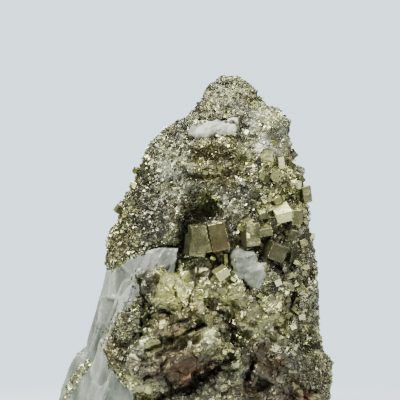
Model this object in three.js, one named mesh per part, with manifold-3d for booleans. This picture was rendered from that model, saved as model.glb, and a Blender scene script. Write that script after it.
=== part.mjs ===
// A cabinet specimen of fluorite with pyrite, standing on a flat cut base.
//
// The rock itself is pyrite: a tapering mass crusted all over with fine crystals, with a coarse,
// broken, blocky part low on the front and a dark pocket under a brow half way up. A pale fluorite
// cleavage mass leans on its left flank, two small fluorite crystals sit in the crust, and the
// larger pyrite cubes are pieces of their own, each in a socket a hair wider than itself.
//
// Millimetres. +Z is up, -Y is the front, +X is the right-hand side seen from the front.
import * as THREE from "three";
import { ConvexGeometry } from "three/addons/geometries/ConvexGeometry.js";
import { ImprovedNoise } from "three/addons/math/ImprovedNoise.js";
import { mergeVertices } from "three/addons/utils/BufferGeometryUtils.js";
import Module from "manifold-3d";

const { lerp, degToRad, seededRandom } = THREE.MathUtils;

// ---- driving dimensions --------------------------------------------------------------------

const HEIGHT = 122; // top of the peak above the cut base
const SOCKET_GAP = 0.3; // clearance all round a piece that sits in another
const SQUARENESS = 2.5; // exponent of the plan outline: 2 is an ellipse, more is boxier
const AROUND = 36; // columns of the body's grid
const LEVELS = 26; // rows of the body's grid
const ROUGHNESS = { broad: 2.4, middle: 1.6, fine: 0.9 }; // swells of the body's flanks
const FINEST = 0.34; // detail of the fused mass that is smaller than this is smoothed away

// Plan outline of the pyrite body at rising heights: how far it reaches left, right, front, back.
const SECTIONS = [
  { height: 0, left: -30, right: 42, front: -27, back: 23 },
  { height: 6, left: -31, right: 45, front: -29, back: 26 },
  { height: 14, left: -31, right: 47.6, front: -29.5, back: 27 },
  { height: 23, left: -30, right: 48.4, front: -29, back: 27 },
  { height: 31, left: -29, right: 45.8, front: -28, back: 26 },
  { height: 38, left: -28.5, right: 43.8, front: -26.5, back: 26 },
  { height: 48, left: -28, right: 44.6, front: -24.5, back: 25 },
  { height: 57, left: -27, right: 43.8, front: -22.5, back: 24 },
  { height: 66, left: -26.4, right: 42.4, front: -21, back: 22 },
  { height: 73, left: -23.8, right: 40.4, front: -21, back: 21 },
  { height: 81, left: -20.4, right: 39.6, front: -20.5, back: 19 },
  { height: 88, left: -17, right: 38.4, front: -19, back: 17 },
  { height: 95, left: -14, right: 36.4, front: -17, back: 15 },
  { height: 101, left: -11, right: 34.4, front: -14.5, back: 13 },
  { height: 103.5, left: -6.8, right: 34.4, front: -13.5, back: 12 },
  { height: 106, left: -3.8, right: 34, front: -12.5, back: 11 },
  { height: 110, left: 1.6, right: 30.2, front: -10.5, back: 9.5 },
  { height: 113, left: 4.4, right: 25.4, front: -9, back: 8 },
  { height: 117, left: 7, right: 23.4, front: -7, back: 6.5 },
  { height: 120, left: 9.4, right: 21.4, front: -5, back: 5 },
  { height: HEIGHT, left: 12, right: 19.6, front: -3, back: 3 },
];

// Flat breaks across the back: a point on each, and the way it faces.
const BREAKS = [
  { name: "low middle", at: [10, 22.5, 30], facing: [0.06, 1, 0.1] },
  { name: "left", at: [-15, 15.5, 44], facing: [-0.75, 1, 0.28] },
  { name: "right", at: [30, 16.5, 58], facing: [0.62, 1, 0.3] },
  { name: "upper left", at: [0, 11.6, 86], facing: [-0.6, 1, 0.34] },
  { name: "upper right", at: [25, 12, 90], facing: [0.5, 1, 0.34] },
  { name: "right foot", at: [36, 17.5, 12], facing: [0.9, 1, -0.22] },
];

// ---- solids --------------------------------------------------------------------------------

const wasm = await Module();
wasm.setup();

/** A closed geometry as a solid that can be joined and cut. */
function solidOf(geometry) {
  const bare = new THREE.BufferGeometry();
  bare.setAttribute("position", geometry.getAttribute("position").clone());
  bare.setIndex(geometry.index);
  const merged = mergeVertices(bare, 1e-4);
  return new wasm.Manifold(
    new wasm.Mesh({
      numProp: 3,
      vertProperties: new Float32Array(merged.attributes.position.array),
      triVerts: new Uint32Array(merged.index.array),
    }),
  );
}

/** A solid as a flat-shaded geometry. */
function geometryOf(solid) {
  const mesh = solid.getMesh();
  const geometry = new THREE.BufferGeometry();
  geometry.setAttribute("position", new THREE.BufferAttribute(mesh.vertProperties, 3));
  geometry.setIndex(new THREE.BufferAttribute(mesh.triVerts, 1));
  const faceted = geometry.toNonIndexed();
  faceted.computeVertexNormals();
  return faceted;
}

/** Several solids as one. */
const joined = (solids) => solids.reduce((sum, solid) => sum.add(solid));

/** The largest body of a solid, without the chips that a cut leaves loose. */
const whole = (solid) =>
  solid.decompose().reduce((largest, body) => (body.volume() > largest.volume() ? body : largest));

/** Moves every vertex of a geometry by a function of its position. */
function reshape(geometry, move) {
  const position = geometry.getAttribute("position");
  const point = new THREE.Vector3();
  for (let i = 0; i < position.count; i += 1) {
    point.fromBufferAttribute(position, i);
    move(point);
    position.setXYZ(i, point.x, point.y, point.z);
  }
  return geometry;
}

/** Turns a geometry by yaw, pitch and roll in degrees, then puts its centre at a point. */
function place(geometry, at, [yaw, pitch, roll] = [0, 0, 0]) {
  const turn = new THREE.Euler(degToRad(pitch), degToRad(roll), degToRad(yaw), "ZYX");
  const matrix = new THREE.Matrix4().makeRotationFromEuler(turn);
  return geometry.applyMatrix4(matrix.setPosition(...at));
}

// ---- the pyrite body -----------------------------------------------------------------------

const field = new ImprovedNoise();

/** Smooth noise from -1 to 1 that changes over about `scale` millimetres. */
function noise(point, scale, shift = 0) {
  return field.noise(point.x / scale + shift, point.y / scale - shift, point.z / scale + 0.37);
}

/** The plan outline at a height, between the two stated sections round it. */
function sectionAt(height) {
  const above = SECTIONS.find((section) => section.height >= height) ?? SECTIONS.at(-1);
  const below = SECTIONS[Math.max(0, SECTIONS.indexOf(above) - 1)];
  const span = above.height - below.height;
  const share = span > 0 ? (height - below.height) / span : 0;
  const mixed = (key) => lerp(below[key], above[key], share);
  return { left: mixed("left"), right: mixed("right"), front: mixed("front"), back: mixed("back") };
}

/** The middle of the plan outline at a height. */
function axisAt(height) {
  const { left, right, front, back } = sectionAt(height);
  return new THREE.Vector3((left + right) / 2, (front + back) / 2, height);
}

/** The body's smooth surface at an angle round it (0 is +X, -90 degrees is the front). */
function surfacePoint(angle, height) {
  const { left, right, front, back } = sectionAt(height);
  const bulge = (value) => Math.sign(value) * Math.abs(value) ** (2 / SQUARENESS);
  return new THREE.Vector3(
    (left + right) / 2 + ((right - left) / 2) * bulge(Math.cos(angle)),
    (front + back) / 2 + ((back - front) / 2) * bulge(Math.sin(angle)),
    height,
  );
}

/** Y of the body's front at a place seen from the front. */
function frontAt(x, z) {
  const { left, right, front, back } = sectionAt(z);
  const across = Math.min(0.98, Math.abs((x - (left + right) / 2) / ((right - left) / 2)));
  const depth = (1 - across ** SQUARENESS) ** (1 / SQUARENESS);
  return (front + back) / 2 - ((back - front) / 2) * depth;
}

/** The tapering mass: flanks that noise has roughened, and flat breaks across the back. */
function body() {
  const tube = new THREE.CylinderGeometry(1, 1, 1, AROUND, LEVELS);
  tube.rotateX(Math.PI / 2);
  reshape(tube, (point) => {
    const angle = Math.atan2(point.y, point.x);
    const reach = Math.min(1, Math.hypot(point.x, point.y));
    const height = (point.z + 0.5) * HEIGHT;
    const skin = surfacePoint(angle, height);
    const axis = axisAt(height);
    const outward = skin.clone().sub(axis).setLength(1);
    const swell =
      ROUGHNESS.broad * noise(skin, 15) * Math.abs(outward.y) +
      ROUGHNESS.middle * noise(skin, 8, 4) * (1 + Math.max(0, outward.y)) +
      ROUGHNESS.fine * noise(skin, 4.5, 9);
    skin.addScaledVector(outward, swell);
    point.lerpVectors(axis, skin, reach);
  });
  return BREAKS.reduce((solid, { at, facing }) => {
    const inward = new THREE.Vector3(...facing).normalize().negate();
    return solid.trimByPlane(inward.toArray(), inward.dot(new THREE.Vector3(...at)));
  }, solidOf(tube));
}

// ---- broken blocks, ledges and hollows -----------------------------------------------------

/** A broken block: the hull of seeded random corners on a rounded box of the given half sizes. */
function brokenBlock({ size, seed, corners = 20, blocky = 0.55 }) {
  seededRandom(seed);
  const half = new THREE.Vector3(...size);
  const points = Array.from({ length: corners }, () => {
    const polar = Math.acos(2 * seededRandom() - 1);
    const way = new THREE.Vector3().setFromSphericalCoords(1, polar, 2 * Math.PI * seededRandom());
    const toBox = 1 / Math.max(Math.abs(way.x), Math.abs(way.y), Math.abs(way.z));
    return way.multiplyScalar(lerp(1.05, toBox, blocky)).multiply(half);
  });
  return new ConvexGeometry(points);
}

/** A broken block at its place: `sink` is how far its centre is behind the body's front. */
function blockInFront({ x, z, sink, turn, ...shape }, seed) {
  return solidOf(place(brokenBlock({ seed, ...shape }), [x, frontAt(x, z) + sink, z], turn));
}

// Blocks and ledges of the front: centre, half sizes and turn. Low down they are the coarse
// broken pyrite, and higher up the brow, the cap and the shoulder.
const KNOBS = [
  { name: "upper brow ledge", x: 4, z: 97.4, sink: 2.2, size: [8, 6, 3.6], turn: [8, -6, 8] },
  { name: "upper brow block", x: 13.6, z: 95.6, sink: 2.2, size: [6.6, 6, 4.6], turn: [-14, 0, -10] },
  { name: "middle brow ledge", x: 9, z: 90, sink: 1.4, size: [10, 6.5, 3.8], turn: [-4, -4, -8] },
  { name: "left brow block", x: 0, z: 90.6, sink: 2, size: [5.4, 5.4, 5], turn: [18, 0, 14] },
  { name: "lower brow ledge", x: 5.4, z: 84.2, sink: 1.8, size: [8.6, 6, 3.8], turn: [8, 0, -18] },
  { name: "right brow block", x: 16.4, z: 84.4, sink: 2, size: [5, 5.6, 4.4], turn: [-20, 6, -26] },
  { name: "cap", x: 15.6, z: 112, sink: 6.4, size: [8, 6, 7], turn: [10, 0, 8], blocky: 0.3 },
  { name: "shoulder", x: 26.6, z: 99, sink: 5, size: [9, 7, 8.6], turn: [-20, 0, -20], blocky: 0.3 },
  { name: "right ledge", x: 27, z: 84, sink: 3.4, size: [10, 6, 7], turn: [-10, 0, -10], blocky: 0.3 },
  { name: "bright knob", x: -7.2, z: 51.2, sink: 1.6, size: [9.4, 7.5, 9], turn: [14, -8, 20] },
  { name: "mid block", x: 12.6, z: 52.4, sink: 2.2, size: [8.4, 6, 6.8], turn: [-4, -10, -8], blocky: 0.8 },
  { name: "foot knob", x: -22, z: 31, sink: -3.6, size: [5.6, 5.4, 7], turn: [20, 0, 8] },
  { name: "foot knob top", x: -18.6, z: 36.6, sink: -2.4, size: [4.4, 5, 4], turn: [-10, 0, 30] },
  { name: "foot knob base", x: -17.4, z: 24.6, sink: -2.6, size: [5, 5.4, 5], turn: [30, 0, -20] },
  { name: "pale knob", x: -12.4, z: 26, sink: -1, size: [7.4, 7, 8.6], turn: [10, 0, -8] },
  { name: "grey block", x: 3.4, z: 44.6, sink: 1.2, size: [7, 6, 5.8], turn: [-12, 6, 14] },
  { name: "hood", x: -6, z: 37.6, sink: 0.6, size: [10.4, 6.8, 4.8], turn: [4, 8, -22] },
  { name: "tilted block", x: 3, z: 26.5, sink: 0.8, size: [14, 7.5, 8], turn: [-3, 10, -26], blocky: 0.8 },
  { name: "right slab", x: 23.4, z: 44.4, sink: 1.4, size: [11, 6.6, 9.8], turn: [-10, -6, 8], blocky: 0.8 },
  { name: "right step", x: 30, z: 39, sink: 3, size: [7, 6, 5], turn: [-16, 0, -8] },
  { name: "right block", x: 27, z: 28, sink: 1.6, size: [10.5, 7.5, 8], turn: [-12, 4, 12], blocky: 0.8 },
  { name: "low right block", x: 23, z: 12, sink: 2, size: [15, 7, 8], turn: [-8, 6, 16], blocky: 0.7 },
  { name: "low middle block", x: 5, z: 9, sink: 1.6, size: [9, 6.5, 7], turn: [0, 10, -30] },
  { name: "low left block", x: -8, z: 10, sink: 1, size: [9, 6.5, 9], turn: [8, 0, -12] },
];

// Hollows of the front: the same, opening forwards.
const HOLLOWS = [
  { name: "pocket", x: 6.6, z: 77.4, sink: -1, size: [8.4, 12, 4.8], turn: [0, 0, -14] },
  { name: "pocket floor", x: 3, z: 74.4, sink: -1, size: [4.6, 12, 5], turn: [0, 0, 0] },
  { name: "pocket side", x: 0.4, z: 67.6, sink: -1, size: [3.4, 9, 8.4], turn: [0, 0, 10] },
  { name: "band groove", x: 9.4, z: 104.2, sink: -3, size: [12, 4.4, 3.4], turn: [0, 0, 0], blocky: 1 },
  { name: "pit by the band", x: 19, z: 104, sink: -1.6, size: [1.9, 4.5, 1.7], turn: [0, 0, 0] },
  { name: "dark seam", x: 13.4, z: 39.8, sink: -4.4, size: [3.2, 5.5, 7.6], turn: [0, 0, 24] },
  { name: "long crack", x: 6.4, z: 18, sink: -5, size: [13.5, 6.5, 1.7], turn: [0, 0, -37] },
  { name: "crack under the hood", x: -3, z: 32.6, sink: -4.6, size: [9.6, 6, 1.3], turn: [0, 0, -24] },
  { name: "right seam", x: 34.6, z: 52, sink: -1.2, size: [1.5, 4, 9], turn: [0, 0, 6] },
  { name: "low seam", x: 14.6, z: 22.6, sink: -4.4, size: [1.4, 5, 6.4], turn: [0, 0, -8] },
];

/** Broken blocks strewn over an area of the body, `sunk` by that share of their half size. */
function strewn({ count, from, to, low, high, least, most, sunk, seed }) {
  seededRandom(seed);
  const rolls = Array.from({ length: count * 6 }, () => seededRandom());
  return Array.from({ length: count }, (_, i) => {
    const [across, up, girth, ...turn] = rolls.slice(6 * i, 6 * i + 6);
    const height = lerp(low, high, (i + up) / count);
    const at = surfacePoint(degToRad(lerp(from, to, across)), height);
    const half = lerp(least, most, girth);
    const inward = axisAt(height).sub(at).setLength(sunk * half);
    const shape = { size: [half * 1.2, half, half * 0.9], seed: seed + i, corners: 13, blocky: 0.8 };
    const angles = turn.map((share) => 180 * share);
    return solidOf(place(brokenBlock(shape), at.add(inward).toArray(), angles));
  });
}

const RUBBLE = [
  { count: 32, from: -128, to: -48, low: 3, high: 58, least: 2.6, most: 4.6, sunk: 0, seed: 300 },
  { count: 8, from: -60, to: -24, low: 6, high: 80, least: 2.6, most: 4, sunk: 0, seed: 500 },
  { count: 7, from: -22, to: 30, low: 4, high: 90, least: 6, most: 9, sunk: 0.84, seed: 520 },
  { count: 14, from: 36, to: 150, low: 8, high: 94, least: 9, most: 14, sunk: 0.66, seed: 400 },
  { count: 10, from: 30, to: 150, low: 2, high: 100, least: 4, most: 7, sunk: 0.3, seed: 440 },
];

// ---- pyrite cubes --------------------------------------------------------------------------

// The larger cubes. Each is one block, or blocks grown together: centre seen from the front,
// how far its centre is behind the body's front, edge lengths and turn.
const CUBES = {
  pyrite_cube_pair: [
    { x: 4.5, z: 67.4, sink: -2, size: [6, 7, 8.9], turn: [10, 4, -4] },
    { x: 10.9, z: 68.2, sink: -2.3, size: [6.4, 7.6, 9], turn: [-8, 5, -12] },
    { x: 3.2, z: 65, sink: -0.9, size: [5.6, 6.6, 6.8], turn: [20, 2, 6] },
  ],
  pyrite_cube_right: [
    { x: 21, z: 68.6, sink: -1.6, size: [4.9, 6, 7], turn: [20, 6, -6] },
    { x: 23.2, z: 70.1, sink: -2.6, size: [1.4, 5, 4.8], turn: [6, 0, -4] },
    { x: 25.8, z: 69.8, sink: -0.9, size: [4.4, 5, 2.7], turn: [12, 12, -10] },
    { x: 20.4, z: 72.2, sink: -1.8, size: [2.6, 3.4, 2.6], turn: [30, 14, -30] },
  ],
  pyrite_cube_striated: [{ x: 29.2, z: 63.4, sink: -1.5, size: [6, 6.6, 5.6], turn: [24, 14, 18] }],
  pyrite_cube_shoulder: [
    { x: 31.5, z: 75.6, sink: -1.5, size: [5.8, 5.4, 4.2], turn: [14, 38, -14] },
    { x: 35.6, z: 74.7, sink: -1.4, size: [4.6, 5, 5], turn: [38, 12, -4] },
  ],
  pyrite_cube_edge: [{ x: 39.6, z: 82, sink: -1.4, size: [3.6, 4.2, 5.8], turn: [30, 8, -14] }],
  pyrite_cube_bright: [{ x: 11.6, z: 56.4, sink: -4.4, size: [4.3, 4.4, 3], turn: [10, 16, -32] }],
};

/** One crystal, or several grown together, as a solid, grown by `gap` all round for its socket. */
function crystal(blocks, gap = 0) {
  return joined(
    blocks.map(({ x, z, sink, size, turn }) => {
      const box = new THREE.BoxGeometry(...size.map((side) => side + 2 * gap));
      return solidOf(place(box, [x, frontAt(x, z) + sink, z], turn));
    }),
  );
}

// Crystals of the crust that stand out enough to have a place of their own, as the cubes above.
const STANDING_OUT = [
  { x: 27.2, z: 94.4, sink: -0.7, size: [4.8, 4.6, 3.8], turn: [-14, 34, -4] },
  { x: 30.8, z: 92.4, sink: -0.7, size: [2.6, 4, 5.4], turn: [30, 0, -10] },
  { x: 29.1, z: 88.4, sink: -0.8, size: [4.6, 4, 3.8], turn: [20, 30, 20] },
  { x: 26, z: 87.4, sink: -0.6, size: [3, 3, 2.8], turn: [40, 20, 10] },
  { x: 35.2, z: 91.6, sink: -0.8, size: [3.4, 3.4, 3.2], turn: [20, 30, 30] },
  { x: 36.8, z: 85, sink: -1.2, size: [2.6, 3, 3.2], turn: [30, 0, 8] },
  { x: 30.2, z: 80, sink: -0.8, size: [2.8, 2.8, 2.6], turn: [10, 30, -30] },
  { x: 34.8, z: 68.6, sink: -0.8, size: [3.4, 3.6, 3.6], turn: [30, 10, 14] },
  { x: 38.8, z: 65.8, sink: -0.8, size: [3.2, 3.2, 3.2], turn: [20, 10, -20] },
  { x: 41.2, z: 67.4, sink: -1.6, size: [3, 3.6, 4], turn: [40, 10, 6] },
  { x: 34.4, z: 62, sink: -1, size: [3.4, 4, 5], turn: [50, 6, 8] },
  { x: 25.2, z: 75.4, sink: -0.6, size: [3.4, 3.6, 2.8], turn: [14, 20, -10] },
  { x: -22.4, z: 76.8, sink: -0.8, size: [3, 3.2, 3], turn: [30, 20, 30] },
  { x: -17.4, z: 84.6, sink: -1.4, size: [2.6, 2.6, 2.4], turn: [10, 30, 20] },
  { x: -16.4, z: 89.6, sink: -1.6, size: [2.4, 2.4, 2.4], turn: [40, 30, 10] },
];

/** Small cubes fused to the body, thickest on the right flank, sunk by about half. */
function crust() {
  const bands = [
    { count: 18, from: -66, to: -16, low: 42, high: 98, least: 2.4, most: 4.6 },
    { count: 12, from: -30, to: 24, low: 8, high: 104, least: 2, most: 3 },
    { count: 6, from: -150, to: -95, low: 66, high: 92, least: 2, most: 3 },
    { count: 14, from: 30, to: 200, low: 8, high: 96, least: 2.6, most: 4.8 },
  ];
  seededRandom(20);
  return bands.flatMap(({ count, from, to, low, high, least, most }) =>
    Array.from({ length: count }, () => {
      const angle = degToRad(lerp(from, to, seededRandom()));
      const at = surfacePoint(angle, lerp(low, high, seededRandom()));
      const edge = lerp(least, most, seededRandom() ** 1.8);
      const size = [edge, edge * (0.85 + 0.3 * seededRandom()), edge * (0.85 + 0.3 * seededRandom())];
      const turn = [90 * seededRandom(), 90 * seededRandom(), 90 * seededRandom()];
      return solidOf(place(new THREE.BoxGeometry(...size), at.toArray(), turn));
    }),
  );
}

// ---- fluorite ------------------------------------------------------------------------------

// The fluorite mass splits into plates that lean back to the left and upwards. A plate is an
// outline seen from the front. Its face passes through `y` at the plates' common corner and runs
// back by `run` for each millimetre to the left, and it goes in behind its face by `thick`.
const CORNER = { x: -16, lean: 0.14 }; // the plates' common corner, and their lean back upwards
const SHARPEST = 0.4; // keeps the corners of a grown outline from running far out
const BEHIND = { x: -46, y: 10, run: 0.6 }; // the plane that cuts all the plates off behind
const PLATES = [
  {
    name: "main",
    outline: [
      [-25.2, 55], [-27.6, 50], [-30, 40], [-33, 28.6], [-35, 18], [-37, 0], [-16, 0], [-16, 61.4],
      [-17.5, 61],
    ],
    face: { y: -29.2, run: 1.14 },
    thick: 15,
  },
  {
    name: "top",
    outline: [[-17, 61.6], [-17, 42], [-5, 46], [-2, 64.6], [-8, 64.2]],
    face: { y: -28.8, run: 0.2 },
    thick: 12,
  },
  {
    name: "rim",
    outline: [[-24.8, 56.6], [-27.9, 55.8], [-29.2, 49.3], [-30.4, 36], [-22, 36]],
    face: { y: -26.6, run: 1.14 },
    thick: 12,
  },
  {
    name: "outer",
    outline: [[-28.4, 47], [-30.6, 44.8], [-33, 36.6], [-35.2, 28], [-36.6, 12], [-26, 12]],
    face: { y: -28, run: 1.12 },
    thick: 15,
  },
  {
    name: "low",
    outline: [[-32, 27.6], [-38.2, 26.6], [-41.8, 18], [-44.2, 11.4], [-47.6, 0], [-26, 0], [-26, 20]],
    face: { y: -28.6, run: 1.14 },
    thick: 20,
  },
  {
    name: "step",
    outline: [[-19, 24.5], [-25.6, 17], [-31.5, 0], [-16.5, 0], [-16.5, 16]],
    face: { y: -31.6, run: 1.2 },
    thick: 12,
  },
  {
    name: "upper step",
    outline: [[-15, 57], [-20.6, 53], [-25.6, 38], [-22, 24], [-15, 30]],
    face: { y: -30.8, run: 1 },
    thick: 12,
  },
];

/** An outline with each of its sides moved out by `gap`. */
function grownOutline(outline, gap) {
  const corners = outline.map(([x, z]) => new THREE.Vector2(x, z));
  const hand = THREE.ShapeUtils.isClockWise(corners) ? -1 : 1;
  const outwards = (from, to) => new THREE.Vector2(to.y - from.y, from.x - to.x).setLength(hand);
  return corners.map((corner, i) => {
    const arriving = outwards(corners.at(i - 1), corner);
    const leaving = outwards(corner, corners[(i + 1) % corners.length]);
    const bluntness = Math.max(1 + arriving.dot(leaving), SHARPEST);
    return arriving.add(leaving).multiplyScalar(gap / bluntness).add(corner);
  });
}

/** One plate, grown by `gap` all round for its socket, which also clears what is `ahead` of it. */
function plate({ outline, face, thick }, gap, ahead) {
  const shape = new THREE.Shape(grownOutline(outline, gap));
  const slab = new THREE.ExtrudeGeometry(shape, { depth: 1, bevelEnabled: false });
  const slack = gap * Math.hypot(1, face.run, CORNER.lean);
  return reshape(slab, (point) => {
    const { x, y: height, z: share } = point;
    const front = face.y + (CORNER.x - x) * face.run + height * CORNER.lean;
    point.set(x, lerp(front + thick + slack, front - slack - ahead, share), height);
  });
}

/** The leaning fluorite mass, its plates as one solid, or the room that it takes. */
function fluoriteMass(gap = 0, ahead = 0) {
  const plates = joined(PLATES.map((each) => solidOf(plate(each, gap, ahead))));
  const normal = new THREE.Vector3(BEHIND.run, -1, 0).normalize();
  const offset = normal.dot(new THREE.Vector3(BEHIND.x, BEHIND.y, 0)) - gap;
  return plates.trimByPlane(normal.toArray(), offset);
}

// The two small fluorite crystals in the crust, each of blocks grown together.
const FLUORITE_BAND = [
  { x: 6, z: 103.8, sink: 0.2, size: [10.4, 6.4, 5.2], turn: [8, 6, 2] },
  { x: 13.4, z: 104.2, sink: 0.2, size: [7.4, 6, 4.4], turn: [-10, 4, -8] },
  { x: 10, z: 103, sink: -0.2, size: [6.4, 5.6, 4.6], turn: [0, 10, 8] },
];
const FLUORITE_STEP = [
  { x: 19.8, z: 59, sink: -2.6, size: [6.8, 7, 7.4], turn: [10, 8, -8] },
  { x: 23.8, z: 54.9, sink: -3.2, size: [6.4, 7.4, 7.6], turn: [4, 12, -12] },
  { x: 20.8, z: 55.6, sink: -2.2, size: [4.4, 6, 5.6], turn: [14, 0, -26] },
];

// ---- assembly ------------------------------------------------------------------------------

const GOLD = { color: 0x8f8658, roughness: 0.42, metalness: 0.9 };
const BRIGHT = { color: 0xa69c6c, roughness: 0.28, metalness: 1 };
const PALE = { color: 0xb9c3c8, roughness: 0.3, metalness: 0, transparent: true, opacity: 0.85 };
const WHITE = { color: 0xd8d9df, roughness: 0.35, metalness: 0, transparent: true, opacity: 0.9 };

/** A named piece of the specimen with a material of its own. */
function piece(name, solid, look) {
  const mesh = new THREE.Mesh(geometryOf(solid), new THREE.MeshStandardMaterial(look));
  mesh.name = name;
  return mesh;
}

/** A small fluorite crystal, clear of the pyrite cubes beside it. */
const cubeSockets = joined(Object.values(CUBES).map((blocks) => crystal(blocks, SOCKET_GAP)));
const besideCubes = (blocks) => whole(crystal(blocks).subtract(cubeSockets));

/** The pyrite mass: everything fused to it, less the hollows, the sockets and the cut base. */
function pyriteMass() {
  const core = body().subtract(fluoriteMass(SOCKET_GAP, 25));
  const blocks = KNOBS.map((knob, index) => blockInFront(knob, index + 1));
  const grown = joined([core, ...blocks, ...RUBBLE.flatMap(strewn), ...crust(), crystal(STANDING_OUT)]);
  const hollows = joined(HOLLOWS.map((hollow, index) => blockInFront(hollow, index + 101)));
  const small = [FLUORITE_BAND, FLUORITE_STEP].map((each) => crystal(each, SOCKET_GAP));
  const sockets = joined([fluoriteMass(SOCKET_GAP), cubeSockets, ...small]);
  const below = new THREE.BoxGeometry(300, 300, 100).translate(0, 0, -50);
  const rough = grown.subtract(hollows).simplify(FINEST);
  return whole(rough.subtract(sockets).subtract(solidOf(below)));
}

const specimen = new THREE.Group();
specimen.add(
  piece("pyrite_mass", pyriteMass(), GOLD),
  piece("fluorite_mass", fluoriteMass(), PALE),
  piece("fluorite_band", besideCubes(FLUORITE_BAND), WHITE),
  piece("fluorite_step", besideCubes(FLUORITE_STEP), WHITE),
  ...Object.entries(CUBES).map(([name, blocks]) => piece(name, crystal(blocks), BRIGHT)),
);

// The origin is on the base, under the middle of the specimen's box.
const middle = new THREE.Box3().setFromObject(specimen).getCenter(new THREE.Vector3());
specimen.position.set(-middle.x, -middle.y, 0);

export default specimen;
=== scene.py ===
"""The looks of a cabinet specimen of fluorite with pyrite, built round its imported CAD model.

Shapes are worked out in millimetres and turned into metres when a mesh is made. +Z is up and -Y is
the front, as in the CAD model. Every random draw comes from one seeded generator or from hashes of
the place, so that each run gives the same specimen.
"""

import math

import bpy
import numpy as np
from mathutils import Euler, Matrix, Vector
from mathutils.bvhtree import BVHTree

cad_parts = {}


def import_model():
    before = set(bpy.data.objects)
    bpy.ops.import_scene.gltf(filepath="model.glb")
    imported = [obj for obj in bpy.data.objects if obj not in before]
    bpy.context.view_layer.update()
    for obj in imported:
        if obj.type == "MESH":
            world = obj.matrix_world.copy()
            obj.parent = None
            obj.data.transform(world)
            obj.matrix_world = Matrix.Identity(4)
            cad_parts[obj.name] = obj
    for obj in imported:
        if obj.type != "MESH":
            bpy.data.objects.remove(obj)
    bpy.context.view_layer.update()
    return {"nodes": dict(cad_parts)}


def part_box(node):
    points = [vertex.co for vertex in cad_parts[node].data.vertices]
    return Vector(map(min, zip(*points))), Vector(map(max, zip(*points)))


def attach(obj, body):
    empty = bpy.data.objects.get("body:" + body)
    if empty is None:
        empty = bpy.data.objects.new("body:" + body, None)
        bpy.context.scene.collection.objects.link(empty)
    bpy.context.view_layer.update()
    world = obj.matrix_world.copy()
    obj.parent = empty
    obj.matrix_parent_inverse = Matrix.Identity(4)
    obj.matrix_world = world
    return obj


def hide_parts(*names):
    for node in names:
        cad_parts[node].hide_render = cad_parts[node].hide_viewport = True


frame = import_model()
NODES = frame["nodes"]
CUBES = [name for name in NODES if name.startswith("pyrite_cube")]
ALL_PYRITE = ["pyrite_mass", *CUBES]
MM = 0.001
rng = np.random.default_rng(7)

# Places on the front are (x, z) in millimetres, seen from the front. ZERO is where their x = 0 lies
# in the frame: the middle of the cube on the right edge is at EDGE_CUBE_X among them.
EDGE_CUBE_X = 39.6
ZERO = sum(corner[0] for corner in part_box("pyrite_cube_edge")) / 2 / MM - EDGE_CUBE_X

# ---- numbers ----

ROCK_VOXEL = 0.92  # halved where the front is massive and where the crust is lumpiest
FLUORITE_VOXEL = 0.52
SMALL_FLUORITE_VOXEL = 0.32
CUBE_VOXEL = 0.26
DRAWN_IN = 1.2  # how far the rock is drawn in under cubes and standing crystals
POCKET = (-18, -13)  # y from which the front counts as the pocket's floor, eased between them
PEAK = (108, 119)  # heights over which the crust of the cap swells
LATTICE_TURN = np.array(Euler((0.6, 0.8, 0.3)).to_matrix())  # keeps lattices off the axes

# ---- arrays ----


def unit(rows):
    """Rows scaled to length 1."""
    return rows / np.maximum(np.linalg.norm(rows, axis=-1, keepdims=True), 1e-12)


def ramp(values, start, end):
    """0 before start and 1 after end, eased between them."""
    share = np.clip((values - start) / (end - start), 0, 1)
    return share * share * (3 - 2 * share)


def hashed(cell, salt):
    """Repeatable numbers from 0 to 1 for rows of three whole numbers."""
    mixed = (cell[..., 0] * 73856093) ^ (cell[..., 1] * 19349663) ^ (cell[..., 2] * 83492791)
    mixed = (mixed ^ (salt * 40503 + 977)) & 0xFFFFFFFF
    mixed = ((mixed ^ (mixed >> 15)) * 2246822519) & 0xFFFFFFFF
    mixed = ((mixed ^ (mixed >> 13)) * 3266489917) & 0xFFFFFFFF
    mixed ^= mixed >> 16
    return mixed / 0xFFFFFFFF


def noise(points, scale, seed=0):
    """Smooth noise from -1 to 1 that changes over about `scale`."""
    at = points / scale + 7.31 * seed
    cell = np.floor(at).astype(np.int64)
    part = at - cell
    ease = part * part * (3 - 2 * part)
    total = np.zeros(len(points))
    for corner in np.ndindex(2, 2, 2):
        share = np.prod(np.where(corner, ease, 1 - ease), axis=1)
        total += share * hashed(cell + np.array(corner), seed)
    return 2 * total - 1


def crumpled(points, size, seed):
    """Noise from -1 to 1 in flat patches that meet at creases, as in broken or crumpled metal."""
    at = points @ LATTICE_TURN / size + 3.17 * seed
    corner = np.floor(at).astype(np.int64)
    part = at - corner
    order = np.argsort(-part, axis=1)
    part = np.take_along_axis(part, order, 1)
    rows = np.arange(len(at))
    total = (1 - part[:, 0]) * hashed(corner, seed)
    for step in range(3):
        corner[rows, order[:, step]] += 1
        share = part[:, step] - (part[:, step + 1] if step < 2 else 0)
        total += share * hashed(corner, seed)
    return 2 * total - 1


def layered(points, scale, seed=0, layers=3):
    """Noise with finer layers added, each half as wide and half as strong."""
    return sum(noise(points, scale / 2**k, seed + k) / 2**k for k in range(layers))


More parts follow.
